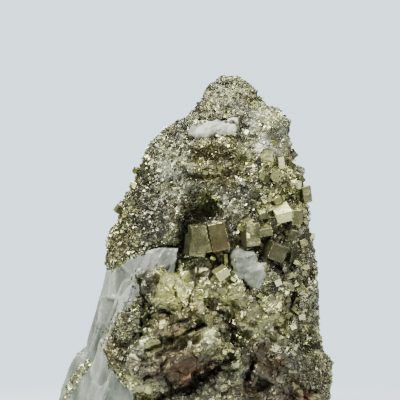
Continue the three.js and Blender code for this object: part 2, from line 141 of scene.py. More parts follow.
def cells(points, size, seed):
    """The nearest of scattered seeds: the way from it, its cell, and the border, in seed spacings.

    The border is the difference between the distances to the two nearest seeds.
    """
    at = points / size
    home = np.floor(at).astype(np.int64)
    best = np.full(len(at), 9.0)
    second = best.copy()
    away = np.zeros_like(at)
    key = home.copy()
    for shift in np.ndindex(3, 3, 3):
        cell = home + np.array(shift) - 1
        off = at - cell - np.stack([hashed(cell, seed + k) for k in range(3)], 1)
        far = (off**2).sum(1)
        nearer = far < best
        second = np.where(nearer, best, np.minimum(second, far))
        best = np.where(nearer, far, best)
        away[nearer] = off[nearer]
        key[nearer] = cell[nearer]
    return away, key, np.sqrt(second) - np.sqrt(best)


def facets(points, size, seed):
    """Broken faces: each cell is a plane with a lean of its own, about -0.5 to 0.5 high.

    It gives their heights, the border, and a number from 0 to 1 for each face.
    """
    away, key, border = cells(points, size, seed)
    lean = np.stack([hashed(key, seed + 10 + k) for k in range(3)], 1) * 2 - 1
    return (away * lean).sum(1), border, hashed(key, seed + 20)


def inside(x, z, outline):
    """Whether each place is inside an outline, both seen from the front."""
    hit = np.zeros(len(x), bool)
    for (x1, z1), (x2, z2) in zip(outline, outline[1:] + outline[:1]):
        if z1 != z2:
            crosses = (z1 > z) != (z2 > z)
            hit ^= crosses & (x < (x2 - x1) * (z - z1) / (z2 - z1) + x1)
    return hit


def beside(x, z, path, start, end):
    """1 up to `start` away from a path of points and 0 from `end` on, both seen from the front."""
    far = np.full(len(x), 1e9)
    for (x1, z1), (x2, z2) in zip(path, path[1:]):
        run, rise = x2 - x1, z2 - z1
        share = np.clip(((x - x1) * run + (z - z1) * rise) / (run * run + rise * rise), 0, 1)
        far = np.minimum(far, np.hypot(x - x1 - share * run, z - z1 - share * rise))
    return 1 - ramp(far, start, end)


# ---- meshes ----


def read(items, key, kind, width):
    """What mesh data holds under a key, as rows of numbers."""
    values = np.empty(len(items) * width, kind)
    items.foreach_get(key, values)
    return values.reshape(-1, width)


def linked(name, data):
    """A new object in the scene."""
    made = bpy.data.objects.new(name, data)
    bpy.context.collection.objects.link(made)
    return made


def solids_of(names):
    """The vertices of CAD nodes, in metres, and their triangles."""
    corners, triangles, start = [], [], 0
    for name in names:
        source = NODES[name].data
        source.calc_loop_triangles()
        corners.append(read(source.vertices, "co", np.float32, 3))
        triangles.append(read(source.loop_triangles, "vertices", np.int32, 3) + start)
        start += len(source.vertices)
    return np.concatenate(corners), np.concatenate(triangles)


def tree_of(names):
    """A search tree over CAD nodes' faces, in millimetres."""
    corners, triangles = solids_of(names)
    return BVHTree.FromPolygons((corners / np.float32(MM)).tolist(), triangles.tolist())


def skin_of(names, voxel):
    """One closed skin of small triangles round CAD nodes: vertices and faces."""
    mesh = bpy.data.meshes.new("skin")
    fill(mesh, *solids_of(names))
    carrier = linked("skin", mesh)
    remesh = carrier.modifiers.new("skin", "REMESH")
    remesh.mode = "VOXEL"
    remesh.voxel_size = voxel * MM
    shown = carrier.evaluated_get(bpy.context.evaluated_depsgraph_get())
    result = shown.to_mesh()
    points = read(result.vertices, "co", np.float32, 3).astype(float) / MM
    squares = read(result.loops, "vertex_index", np.int32, 1).reshape(-1, 4)
    shown.to_mesh_clear()
    bpy.data.objects.remove(carrier)
    bpy.data.meshes.remove(mesh)
    return points, np.concatenate([squares[:, [0, 1, 2]], squares[:, [0, 2, 3]]])


def split_where(vertices, faces, chosen):
    """Halves each side whose two ends are chosen, and splits the triangles to match."""
    sides = np.sort(faces[:, [[0, 1], [1, 2], [2, 0]]].reshape(-1, 2).astype(np.int64), 1)
    halved = chosen[sides].all(1)
    keys = sides[halved, 0] * len(vertices) + sides[halved, 1]
    found, which = np.unique(keys, return_inverse=True)
    ends = np.stack(np.divmod(found, len(vertices)), 1)
    new = np.full(len(sides), -1)
    new[halved] = len(vertices) + which.ravel()
    new = new.reshape(-1, 3)
    count = (new >= 0).sum(1)
    a, b, c = faces[count == 3].T
    ab, bc, ca = new[count == 3].T
    one = count == 1
    first = new[one].argmax(1)[:, None]
    d, e, f = np.take_along_axis(faces[one], (first + np.arange(3)) % 3, 1).T
    de = new[one].max(1)
    split = [[a, ab, ca], [ab, b, bc], [ca, bc, c], [ab, bc, ca], [d, de, f], [de, e, f]]
    made = np.concatenate([faces[count == 0], *[np.stack(corners, 1) for corners in split]])
    return np.concatenate([vertices, vertices[ends].mean(1)]), made


def fill(mesh, vertices, faces):
    """Puts vertices, in metres, and faces of one size into an empty mesh."""
    mesh.vertices.add(len(vertices))
    mesh.vertices.foreach_set("co", np.asarray(vertices, np.float32).ravel())
    mesh.loops.add(faces.size)
    mesh.loops.foreach_set("vertex_index", np.asarray(faces, np.int32).ravel())
    mesh.polygons.add(len(faces))
    mesh.polygons.foreach_set("loop_start", np.arange(0, faces.size, faces.shape[1], dtype=np.int32))
    mesh.update(calc_edges=True)


def normals_of(vertices, faces):
    """A normal at each vertex."""
    a, b, c = (vertices[faces[:, k]] for k in range(3))
    across = np.cross(b - a, c - a)
    total = [sum(np.bincount(corner, way, len(vertices)) for corner in faces.T) for way in across.T]
    return unit(np.stack(total, 1))


def faces_of(skin):
    """The middles of a skin's triangles, and how far each faces the front."""
    points, faces = skin
    return points[faces].mean(1), -normals_of(points, faces)[faces].mean(1)[:, 1]


def smoothed(vertices, faces, times):
    """Vertices drawn towards their neighbours again and again, which rounds every edge."""
    ways = np.concatenate([faces[:, [0, 1]], faces[:, [1, 2]], faces[:, [2, 0]]])
    ways = np.concatenate([ways, ways[:, ::-1]])
    count = np.bincount(ways[:, 0], minlength=len(vertices))
    for _ in range(times):
        near = [np.bincount(ways[:, 0], column[ways[:, 1]], len(vertices)) for column in vertices.T]
        vertices = 0.5 * vertices + 0.5 * np.stack(near, 1) / count[:, None]
    return vertices


def piece(name, vertices, faces, material, masks, stands_for=(), smooth=False):
    """A named mesh in the specimen, with a number at each vertex for each mask."""
    mesh = bpy.data.meshes.new(name)
    fill(mesh, vertices * MM, faces)
    mesh.polygons.foreach_set("use_smooth", np.full(len(faces), smooth))
    for key, values in masks.items():
        layer = mesh.attributes.new(key, "FLOAT", "POINT")
        layer.data.foreach_set("value", np.asarray(values, np.float32))
    mesh.materials.append(material)
    made = linked(name, mesh)
    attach(made, "root")
    if stands_for:
        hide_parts(*stands_for)


# ---- materials ----


class Graph:
    """The nodes of a material or of the world, added one at a time."""

    def __init__(self, owner):
        owner.use_nodes = True
        self.owner = owner
        self.tree = owner.node_tree
        self.shader = self.tree.nodes.get("Principled BSDF")
        self.output = self.tree.nodes.get("Material Output") or self.tree.nodes["World Output"]

    def add(self, kind, settings=None, out=0, **inputs):
        """A node with its settings and inputs. The output that is asked for is returned."""
        node = self.tree.nodes.new("ShaderNode" + kind)
        for key, value in (settings or {}).items():
            setattr(node, key, value)
        for key, value in inputs.items():
            self.put(node, key, value)
        return node.outputs[out]

    def put(self, node, key, value):
        """Links or sets an input, by its name or, as in i1, by its number."""
        socket = node.inputs[int(key[1:]) if key[1:].isdigit() else key.replace("_", " ")]
        if isinstance(value, bpy.types.NodeSocket):
            self.tree.links.new(value, socket)
        else:
            socket.default_value = value

    def shade(self, **inputs):
        """Links or sets the shader's own inputs."""
        for key, value in inputs.items():
            self.put(self.shader, key, value)

    def mask(self, name):
        """A number kept at each vertex."""
        return self.add("Attribute", {"attribute_name": name}, "Fac")

    def math(self, operation, a, b, clamp=False):
        """Two numbers put together."""
        return self.add("Math", {"operation": operation, "use_clamp": clamp}, i0=a, i1=b)

    def mix(self, share, a, b):
        """From colour a to colour b."""
        return self.add("Mix", {"data_type": "RGBA"}, 2, i0=share, i6=a, i7=b)

    def scaled(self, colour, factor):
        """A colour times a number."""
        return self.add("VectorMath", {"operation": "SCALE"}, i0=colour, Scale=factor)

    def grain(self, scale, detail=3.0, stretch=None):
        """Noise over the object, from 0 to 1, with `scale` waves in a metre."""
        where = self.add("TexCoord", out="Object")
        if stretch:
            where = self.add("Mapping", Vector=where, Scale=stretch)
        return self.add("TexNoise", Vector=where, Scale=scale, Detail=detail)

    def lines(self, name, scale):
        """Noise along the number kept at each vertex under a name: lines across a face."""
        along = self.math("MULTIPLY", self.mask(name), scale)
        return self.add("TexNoise", {"noise_dimensions": "1D"}, W=along, Scale=1.0, Detail=2.0)

    def cells(self, scale):
        """A random number for each crystal of a crust with `scale` crystals in a metre."""
        where = self.add("TexCoord", out="Object")
        crystals = self.add("TexVoronoi", out="Color", Vector=where, Scale=scale)
        return self.add("SeparateColor", Color=crystals)

    def ramp(self, value, low, high, to_low=0.0, to_high=1.0):
        """A number's range turned into another, clamped."""
        return self.add("MapRange", i0=value, i1=low, i2=high, i3=to_low, i4=to_high)

    def bump(self, height, depth, strength):
        """Fine relief, `depth` metres high."""
        self.shade(Normal=self.add("Bump", Height=height, Distance=depth, Strength=strength))


DARK_GREY = (0.08, 0.079, 0.068, 1)
PALE_GREY = (0.41, 0.42, 0.30, 1)
DARK_GOLD = (0.114, 0.108, 0.076, 1)
PALE_GOLD = (0.69, 0.70, 0.30, 1)
DARK_RUST = (0.034, 0.024, 0.012, 1)
PALE_RUST = (0.27, 0.18, 0.078, 1)
RED = (0.14, 0.04, 0.022, 1)
DARK_AND_SHADE = (0.027, 0.022, 0.016, 1)
COATING = (0.40, 0.42, 0.34)
DARK_OLIVE = (0.10, 0.105, 0.06, 1)
OLIVE = (0.17, 0.175, 0.10, 1)
DARK_BROWN = (0.09, 0.07, 0.033, 1)
BROWN = (0.44, 0.37, 0.17, 1)
BRASS = (0.76, 0.76, 0.36, 1)
WEAR_AND_HIGHLIGHT_BRASS = (0.72, 0.70, 0.42, 1)
FROST = (0.84, 0.86, 0.82, 1)


def pyrite_material(name, roughness, grained):
    """Pyrite whose masks say how golden, rusty, coated and finely grained it is, and where dark grains and
    painted shade darken it.
    """
    g = Graph(bpy.data.materials.new(name))
    fine = g.grain(1500, 2)
    patches = g.ramp(g.grain(190, 3), 0.35, 0.65, -0.22, 0.22)
    crystals = g.cells(1700)
    shade = g.math("ADD", g.mask("tone"), g.ramp(crystals, 0, 1, -0.5 * grained, 0.5 * grained), True)
    gold = g.math("ADD", g.mask("gold"), patches, True)
    base = g.mix(gold, g.mix(shade, DARK_GREY, PALE_GREY), g.mix(shade, DARK_GOLD, PALE_GOLD))
    base = g.mix(g.mask("rust"), base, g.mix(shade, DARK_RUST, PALE_RUST))
    base = g.mix(g.mask("red"), base, RED)
    base = g.mix(g.mask("coat"), base, g.scaled(COATING, g.ramp(shade, 0, 1, 0.45, 1.25)))
    base = g.scaled(base, g.ramp(fine, 0.3, 0.7, 0.85, 1.15))
    # Darkened by dark grains and by painted shade in cracks, grooves, gaps and under crystals.
    base = g.mix(g.mask("dark_and_shade"), base, DARK_AND_SHADE)
    dull = 0.0
    for key, much in (("coat", 0.6), ("rust", 0.25), ("dark_and_shade", 0.5)):
        dull = g.math("MAXIMUM", dull, g.math("MULTIPLY", g.mask(key), much), True)
    uneven = g.ramp(fine, 0.3, 0.7, roughness - 0.06, roughness + 0.1)
    g.shade(
        Base_Color=base,
        Metallic=g.ramp(dull, 0, 1, 0.9, 0.1),
        Roughness=g.math("ADD", uneven, g.math("MULTIPLY", dull, 0.3)),
    )
    g.bump(g.math("ADD", g.math("MULTIPLY", crystals, grained), fine), 0.00018, 0.7)
    return g.owner


def crystal_material(name):
    """The large crystals' faces: striated metal under thin olive and brown tarnish."""
    g = Graph(bpy.data.materials.new(name))
    patches = g.grain(330, 5)
    fine = g.grain(2400, 2)
    striae = g.lines("across", 7.0)
    tone = g.math("ADD", g.mask("tone"), g.ramp(striae, 0.35, 0.65, -0.03, 0.03), True)
    base = g.mix(tone, g.mix(g.ramp(patches, 0.4, 0.62), DARK_OLIVE, OLIVE), BRASS)
    base = g.mix(g.mask("rust"), base, g.mix(tone, DARK_BROWN, BROWN))
    # Brass on rubbed edges, with a painted highlight on the pair's top edge, and dark lines of painted
    # shade.
    base = g.mix(g.mask("wear_and_highlight"), base, WEAR_AND_HIGHLIGHT_BRASS)
    base = g.mix(g.mask("dark_and_shade"), base, DARK_AND_SHADE)
    base = g.scaled(base, g.ramp(fine, 0.3, 0.7, 0.8, 1.2))
    g.shade(Base_Color=base, Metallic=0.9, Roughness=g.ramp(patches, 0.3, 0.7, 0.2, 0.4))
    g.bump(g.math("ADD", g.math("MULTIPLY", striae, 0.5), g.math("MULTIPLY", fine, 0.5)), 0.00008, 0.5)
    return g.owner


def fluorite_material(name, clear_body, milky_body, see_through, absorbed, density, grained):
    """Cloudy fluorite: glassy and see-through, milky in patches, white along its cleavage edges."""
    g = Graph(bpy.data.materials.new(name))
    clouds = g.grain(170, 4, (1, 1, 0.4))
    specks = g.grain(1100, 3)
    milk = g.math("ADD", g.mask("milk"), g.ramp(clouds, 0.35, 0.65, -0.2, 0.24), True)
    frost = g.math("MULTIPLY", g.mask("frost"), g.ramp(specks, 0.25, 0.7, 0.35, 1), True)
    g.shade(
        Base_Color=g.mix(frost, g.mix(milk, clear_body, milky_body), FROST),
        Roughness=g.ramp(frost, 0, 1, 0.2 + 0.3 * grained, 0.5 + 0.2 * grained),
        IOR=1.434,
        Transmission_Weight=see_through,
    )
    g.put(g.output, "Volume", g.add("VolumeAbsorption", Color=absorbed, Density=density))
    g.bump(specks, 0.0003, 0.25 + 0.6 * grained)
    return g.owner


rock_look = pyrite_material("pyrite rock", 0.34, 0.14)
crust_look = pyrite_material("pyrite crust", 0.24, 0.2)
cube_look = crystal_material("pyrite cube")
pale_look = fluorite_material(
    "fluorite", clear_body=(0.13, 0.15, 0.125, 1), milky_body=(0.58, 0.62, 0.56, 1),
    see_through=0.5, absorbed=(0.73, 0.85, 0.78, 1), density=60, grained=0.0,
)
white_look = fluorite_material(
    "white fluorite", clear_body=(0.2, 0.21, 0.17, 1), milky_body=(0.72, 0.715, 0.65, 1),
    see_through=0.2, absorbed=(0.92, 0.92, 0.88, 1), density=12, grained=1.0,
)
clouded_look = fluorite_material(
    "clouded fluorite", clear_body=(0.25, 0.27, 0.22, 1), milky_body=(0.69, 0.705, 0.62, 1),
    see_through=0.45, absorbed=(0.86, 0.9, 0.78, 1), density=25, grained=0.6,
)

# ---- the pyrite rock ----

# Where the front is broken, massive pyrite and not crust: an outline seen from the front.
MASSIVE = [
    (-16.5, 59), (-12, 61), (-3.5, 59), (2, 57), (7.5, 59), (12, 60), (16.5, 57), (20.5, 50.5),
    (26, 49.5), (29.5, 51.5), (34, 47.5), (34.5, 36), (33.5, 28), (39, 21.5), (45, 12), (49, -2),
    (-15.5, -2), (-17, 13.5), (-19.5, 21.5), (-17.5, 32.5), (-16.5, 39), (-18.5, 46),
]

# Cracks of the front, darkened with painted shade: path, half width and depth.
CRACKS = [
    ([(14, 31), (10.5, 26.5), (5.5, 22), (-0.5, 18.5), (-7, 16), (-11, 13.5)], 1.8, 5.0),
    ([(-12, 33), (-5.5, 35.4), (0.5, 37.2), (6, 40)], 0.7, 2.2),
    ([(8.5, 46), (11.5, 42), (14.5, 38.5), (16.5, 34)], 1.6, 3.0),
    ([(33.5, 63), (34.5, 55.5), (33.5, 46), (35, 35.5)], 0.7, 0.6),
    ([(2, 60.5), (7, 61), (12, 60)], 1.0, 2.6),
    ([(27, 61), (30.5, 57.5), (33, 52)], 1.2, 3.0),
    ([(-0.5, 72.5), (0.5, 63)], 1.2, 2.5),
    ([(-12, 41.5), (-5.5, 43), (0.5, 42)], 0.7, 1.5),
    ([(18, 32), (20.5, 27), (21, 22)], 0.9, 2.5),
    ([(2, 57), (3.5, 51), (1.5, 47)], 0.6, 1.6),
]
LINED = [CRACKS[0], CRACKS[2]]  # the two widest, which are lined with small dark crystals

# Tints of the front, by mask: centre, half sizes and weight. "tone" lightens or, below 0, darkens.
TINTS = {
    "rust": [
        ((-1.5, 27), (14, 8.5), 1.0), ((26, 29), (8, 7), 0.9), ((27, 16), (16, 9), 0.85),
        ((-5, 39), (8, 5), 0.7), ((2.5, 45.5), (8, 6), 0.35), ((-12, 9), (8, 9), 0.6),
        ((-23, 64), (4, 5), 0.35), ((9, 90), (11, 8), 0.35), ((-23, 30), (5, 6), 0.35),
    ],
    "red": [((39.5, 15.5), (2.4, 2), 0.75), ((1, 25), (9, 5), 0.12), ((20, 20), (4, 2), 0.1)],
    "coat": [
        ((-3.5, 89.5), (6.5, 9.5), 0.8), ((25.5, 102), (9, 9), 0.85), ((16, 113), (9, 9), 0.25),
        ((12.5, 76.5), (4.5, 3.5), 0.6), ((-15, 31), (4.5, 6), 0.3), ((10, 80), (5, 4), 0.3),
    ],
    "gold": [
        ((11, 93), (13, 10), 0.6), ((33, 80), (11, 16), 0.6), ((-23, 73), (8, 19), 0.65),
        ((16, 117), (8, 6), 0.4), ((-4, 52), (7, 8), 0.85), ((23, 44), (11, 10), 0.6),
        ((-23, 31), (7, 8), 0.8), ((44, 15), (10, 24), 0.6), ((10, 53), (9, 7), 0.5),
        ((34, 46), (8, 13), 0.55), ((-15, 26), (6, 7), 0.6), ((-11, 18), (6, 4), 0.7),
        ((36, 87), (6, 8), 0.6),
    ],
    # Darker places: dark grains along the two widest cracks, with painted shade in them, and painted shade
    # in the pocket's hole at (4.6, 76.2) and in the gaps between crystals right of the pair at (30, 70).
    "dark_and_shade": [
        ((12.2, 42), (3.6, 7.5), 0.65), ((3, 18.5), (11, 3.5), 0.65), ((13, 26), (3.5, 4), 0.7),
        ((4.6, 76.2), (4, 3), 0.45), ((30, 70), (10, 9), 0.25),
    ],
    # Of these, (30, 71) darkens the gaps between crystals right of the pair as painted shade, and (9,
    # 79.5) lightens the pocket's shaded floor as painted light.
    "tone": [
        ((10, 54), (8, 7), -0.22), ((36, 46), (7, 13), -0.1), ((-23, 31), (7, 8), -0.3),
        ((-22, 67), (5, 7), -0.18), ((5, 46), (6, 7), 0.36), ((9, 79.5), (5, 4), 0.15),
        ((11, 101), (10, 3), -0.08), ((-5, 53), (6, 7), 0.42), ((-14, 50), (4, 9), -0.42),
        ((24, 44), (11, 11), -0.28), ((44, 15), (9, 22), -0.36), ((-14.5, 28), (7, 8), -0.38),
        ((-11, 19), (6, 4), -0.25), ((26, 22), (17, 16), -0.46), ((0, 25), (15, 11), -0.44),
        ((4, 35.5), (8, 4), 0.2), ((14.2, 34.4), (2.6, 2.4), 0.5), ((-11, 9), (10, 9), -0.3),
        ((2, 41), (11, 6), -0.15), ((9, 90), (12, 9), -0.06), ((28, 103), (10, 10), 0.45),
        ((-4, 89), (7, 10), 0.22), ((-12, 79), (9, 15), -0.3), ((30, 71), (11, 9), -0.3),
        ((15, 113), (9, 8), -0.07),
    ],
}

# More ovals on the front: centre, half sizes and how much.
ROUGH = [  # where the crust is lumpiest
    ((9, 90), (15, 9), 1.0), ((-2, 88), (7, 12), 0.9), ((30, 84), (8, 16), 0.7),
    ((-18, 72), (8, 14), 0.5),
]
CALM = [((22, 45), (11, 10), 1.0), ((-1, 26), (12, 8), 1.0)]  # where the massive part is less broken
SWELLS = [  # where the outline swells out a little more, and how far
    ((32, 107.5), (5, 5), 2.2), ((48, 13), (6, 15), 1.2), ((-25, 67), (4, 5), 0.7),
    ((10, 99), (4.5, 2.5), 1.5),
]
SHALLOWS = [((14.5, 77), (5.5, 5), 5.0), ((6, 75), (6, 5), 2.0)]  # how far the pocket's floor comes out

# Crystals that stand out of the crust: place seen from the front, edges, turn in degrees (yaw,
# pitch and roll) and tone. The first ones are solids of the CAD model too.
STANDING = [
    ((27.2, 94.4), (4.8, 4.6, 3.8), (-14, 34, -4), 0.55),
    ((30.8, 92.4), (2.6, 4, 5.4), (30, 0, -10), 0.3),
    ((29.1, 88.4), (4.6, 4, 3.8), (20, 30, 20), 0.75),
    ((26, 87.4), (3, 3, 2.8), (40, 20, 10), 0.65),
    ((35.2, 91.6), (3.4, 3.4, 3.2), (20, 30, 30), 0.6),
    ((36.8, 85), (2.6, 3, 3.2), (30, 0, 8), 0.35),
    ((30.2, 80), (2.8, 2.8, 2.6), (10, 30, -30), 0.6),
    ((34.8, 68.6), (3.4, 3.6, 3.6), (30, 10, 14), 0.2),
    ((38.8, 65.8), (3.2, 3.2, 3.2), (20, 10, -20), 0.35),
    ((41.2, 67.4), (3, 3.6, 4), (40, 10, 6), 0.4),
    ((34.4, 62), (3.4, 4, 5), (50, 6, 8), 0.1),
    ((25.2, 75.4), (3.4, 3.6, 2.8), (14, 20, -10), 0.6),
    ((-22.4, 76.8), (3, 3.2, 3), (30, 20, 30), 0.5),
    ((-17.4, 84.6), (2.6, 2.6, 2.4), (-16, -10, 20), 0.9),
    ((-16.4, 89.6), (2.4, 2.4, 2.4), (40, 30, 10), 0.6),
    ((29.5, 98.5), (1.7, 1.7, 2.2), (30, 20, -20), 0.95),
    ((32.5, 90.5), (2.8, 1.8, 1.4), (10, 30, 5), 0.8),
    ((33.6, 87.6), (2, 1.8, 1.8), (40, 20, 30), 0.65),
    ((37.2, 88.4), (1.8, 1.8, 1.6), (20, 20, 10), 0.7),
    ((32.4, 84.6), (2, 1.8, 1.6), (10, 20, -30), 0.6),
    ((23.4, 73), (1.9, 1.9, 2.4), (30, 20, 10), 0.9),
    ((28, 73.2), (1.6, 1.6, 1.8), (60, 20, 30), 0.8),
    ((13.2, 60.4), (1.3, 1.6, 4.2), (10, 0, -4), 0.75),
    ((14.8, 60), (1, 1.6, 5), (30, 0, 3), 0.6),
    ((15.4, 54.4), (2.2, 1.6, 1.4), (10, 20, 30), 0.95),
    ((9, 61), (2, 1.6, 1.2), (10, 20, 20), 0.8),
    ((21.2, 87.2), (1.8, 1.6, 1.4), (30, 20, 40), 0.7),
    ((6.4, 89), (2, 1.6, 1.4), (20, 20, 10), 0.75),
    ((9.6, 88), (1.6, 1.6, 1.4), (40, 20, 50), 0.8),
    ((-15.4, 76.4), (1.3, 1.2, 1.1), (30, 20, 10), 0.55),
    ((-16.8, 78.6), (1.2, 1.1, 1.1), (50, 20, 40), 0.45),
    ((39.2, 58), (2, 1.8, 1.6), (30, 20, 10), 0.5),
    ((36.6, 59.6), (2.2, 2, 1.6), (10, 20, 20), 0.6),
    ((35.8, 55), (1.8, 1.6, 1.6), (60, 20, 30), 0.8),
    ((38.6, 50.4), (2.8, 2, 2.4), (20, 10, 50), 0.6),
    ((36.6, 47), (2.4, 2, 2.8), (30, 30, 20), 0.35),
    ((39, 43.4), (2.2, 2, 2), (20, 20, 10), 0.5),
    ((21, 92), (3, 2, 1.2), (10, 20, -4), 0.8),
    ((18.4, 90.2), (2.4, 1.6, 1), (10, 20, 20), 0.6),
    ((18, 71.2), (2.2, 1.6, 2.6), (30, 20, 20), 0.9),
    ((20.2, 69.6), (1.2, 1.4, 4.6), (20, 0, 2), 1.0),
    ((22.8, 67.6), (3.2, 1.6, 1.8), (10, 20, -10), 0.75),
    ((16.8, 66), (2, 1.4, 2.4), (40, 10, 20), 0.35),
    ((24.6, 65.4), (1.8, 1.4, 1.4), (30, 20, 30), 0.6),
    ((27.4, 80.2), (2, 1.6, 1.6), (20, 20, 40), 0.8),
    ((31.4, 82.6), (1.8, 1.6, 2), (40, 10, 20), 0.4),
    ((24, 79), (1.6, 1.4, 1.4), (10, 30, 10), 0.7),
    ((35.4, 80.6), (2, 1.6, 2), (20, 20, 50), 0.7),
    ((38, 78.4), (1.8, 1.6, 2), (50, 10, 20), 0.45),
]
IN_CAD = 15
STANDING_SHOWN = 0.92  # their edges beside the sizes above, once the rock is drawn in under them


def spread(x, z, centre, half):
    """1 at a centre, falling to 0 at about the half sizes round it."""
    far = np.hypot((x - centre[0]) / half[0], (z - centre[1]) / half[1])
    return 1 - ramp(far, 0.45, 1.15)


def added_up(points, ovals):
    """How much ovals on the front add up to at each point."""
    x, z = points[:, 0] - ZERO, points[:, 2]
    return sum(much * spread(x, z, centre, half) for centre, half, much in ovals)


def masks_at(points):
    """The masks of the rock at places on it, how far they are massive, and how deep a crack is."""
    x = points[:, 0] - ZERO + 1.6 * layered(points, 5, 50)
    z = points[:, 2] + 1.6 * layered(points, 5, 51)
    front = ramp(-points[:, 1], 1, 7)
    massive = inside(x, z, MASSIVE) * front
    masks = {}
    for key, tints in TINTS.items():
        here = [weight * spread(x, z, centre, half) * front for centre, half, weight in tints]
        masks[key] = np.sum(here, 0) if key == "tone" else np.max(here, 0)
    gold = 0.25 + 0.25 * massive + 0.25 * noise(points, 9, 60)
    masks["gold"] = np.clip(masks["gold"] + gold, 0, 1)
    rust = masks["rust"] * (0.9 + 0.4 * noise(points, 3, 62))
    masks["rust"] = np.clip(rust + 0.2 * (noise(points, 6, 61) > 0.45), 0, 1)
    masks["coat"] *= ramp(layered(points, 4, 64), -0.7, 0.3)
    cracked, depth = np.zeros((2, len(points)))
    for path, half, deep in CRACKS:
        near = beside(x, z, path, 0.35 * half, 1.5 * half) * front
        cracked = np.maximum(cracked, near)
        depth = np.maximum(depth, near * deep)
    # Painted shade along the cracks, over their grooves.
    masks["dark_and_shade"] = np.maximum(masks["dark_and_shade"], 0.7 * cracked)
    return masks, massive, depth


def standing_blocks():
    """The centre, axes and half sizes of each crystal that stands out, from the front of the CAD."""
    rock_alone = tree_of(["pyrite_mass"])
    grown = tree_of(ALL_PYRITE)
    blocks = []
    for index, ((x, z), size, (yaw, pitch, roll), _) in enumerate(STANDING):
        tree = rock_alone if index < IN_CAD else grown
        axes = np.array(Euler([math.radians(a) for a in (pitch, roll, yaw)]).to_matrix())
        half = 0.5 * np.array(size)
        hit = tree.ray_cast(Vector((x + ZERO, -60, z)), Vector((0, 1, 0)))[0]
        reach = (half / np.maximum(np.abs(axes[1]), 1e-6)).min()
        centre = np.array([x + ZERO, hit.y + reach, z])
        blocks.append((centre, axes, half * STANDING_SHOWN))
    return blocks


def within(points, blocks, margin):
    """Whether each place is inside any of the blocks, grown by a margin."""
    hit = np.zeros(len(points), bool)
    for centre, axes, half in blocks:
        hit |= (np.abs((points - centre) @ axes) < half + margin).all(1)
    return hit


def under_cubes(points):
    """Whether each place is within 0.45 mm of the large cubes' surface, or up to 1 mm under it."""
    tree = tree_of(CUBES)
    hit = np.zeros(len(points), bool)
    for index, place in enumerate(map(Vector, points)):
        near, way, _, far = tree.find_nearest(place, 1.0)
        if near is not None:
            hit[index] = far < 0.45 or (place - near).dot(way) < 0
    return hit


def build_rock(blocks):
    """The rock with its broken faces, lumps and cracks.

    It gives the skin, how far each vertex is massive, and whether a large cube hides it.
    """
    points, faces = skin_of(ALL_PYRITE, ROCK_VOXEL)
    lumpy = added_up(points, ROUGH) * (points[:, 1] < 0) > 0.4
    points, faces = split_where(points, faces, lumpy | (masks_at(points)[1] > 0))
    normals = normals_of(points, faces)
    masks, massive, depth = masks_at(points)

    big, _, big_tone = facets(points, 6.5, 100)
    middle, border, middle_tone = facets(points @ LATTICE_TURN, 2.8, 130)
    small, _, small_tone = facets(points, 1.2, 160)
    creases = 1.7 * crumpled(points, 4.6, 200) + 0.3 * crumpled(points, 2.0, 210)
    calm = added_up(points, CALM)
    split = (1 - ramp(border, 0.0, 0.17)) * (middle_tone > 0.55) * (1 - 0.7 * calm)
    broken = 2.3 * big + (1 - 0.4 * calm) * (0.6 * middle + creases)
    broken = broken + 0.1 * crumpled(points, 1.0, 220) - 0.5 * split - 0.3
    knobby = cells(points * (1, 1, 0.65), 2.3, 260)[0]
    knobs = masks["coat"] * (0.7 - 2.2 * (knobby**2).sum(1))
    lumps = 0.9 * layered(points, 7, 190) + 0.5 * middle + 0.3 * small + knobs - 0.5
    lumps = lumps + 0.7 * ramp(points[:, 2], *PEAK)
    rough = crumpled(points, 3.6, 250) + 0.5 * crumpled(points, 1.7, 255)
    lumps = lumps + added_up(points, ROUGH) * rough
    rise = massive * broken + (1 - massive) * lumps + added_up(points, SWELLS)

    # Under a large cube or a standing crystal the skin is drawn in, so that only its faces show.
    hidden = under_cubes(points)
    drawn_in = hidden | within(points, blocks, 0.35)
    rise = np.where(drawn_in, -DRAWN_IN, rise)
    foot = ramp(points[:, 2], 0.3, 2.5)
    moved = points + normals * (rise * foot)[:, None]
    moved[:, 1] += depth * foot * ~hidden
    moved[:, 1] -= ramp(points[:, 1], *POCKET) * ~hidden * added_up(points, SHALLOWS)
    moved[:, 2] = np.where(points[:, 2] < 0.5, 0, np.maximum(moved[:, 2], 0))

    tone = 0.42 * middle_tone + 0.08 * small_tone + 0.28 * big_tone
    tone = tone + 0.16 * crumpled(points, 1.6, 230) - 0.35
    tone = 0.45 + tone * (1 - 0.55 * np.maximum(calm, masks["rust"]))
    # The skin under the crust is darker: painted shade in the gaps between its crystals.
    masks["tone"] = np.clip(masks["tone"] + tone - 0.3 * (1 - massive), 0, 1)
    # Painted shade on the skin drawn in under cubes and standing crystals, and along the grooves at the
    # broken faces' borders.
    masks["dark_and_shade"] = np.max([masks["dark_and_shade"], 0.8 * drawn_in, 0.55 * massive * split], 0)
    masks["gold"] = np.clip(masks["gold"] + 0.3 * massive * (small_tone - 0.5), 0, 1)
    piece("rock", moved, faces, rock_look, masks, ["pyrite_mass"])
    return (moved, faces), massive, hidden


# ---- crystals of the crust ----

CUBE = (
    np.array(list(np.ndindex(2, 2, 2))) - 0.5,
    np.array([[0, 1, 3, 2], [4, 6, 7, 5], [0, 4, 5, 1], [2, 3, 7, 6], [0, 2, 6, 4], [1, 5, 7, 3]]),
)

# A cube's corner, standing up along z: its three faces, closed by a base that sits in the rock.
APEX = 0.35
WIDE, TALL = math.sqrt(2 / 3), math.sqrt(1 / 3)
ROUND = [(WIDE * math.cos(a), WIDE * math.sin(a), APEX - TALL) for a in np.radians([0, 120, 240])]
CORNER = (np.array([(0, 0, APEX), *ROUND]), np.array([[0, 1, 2], [0, 2, 3], [0, 3, 1], [1, 3, 2]]))


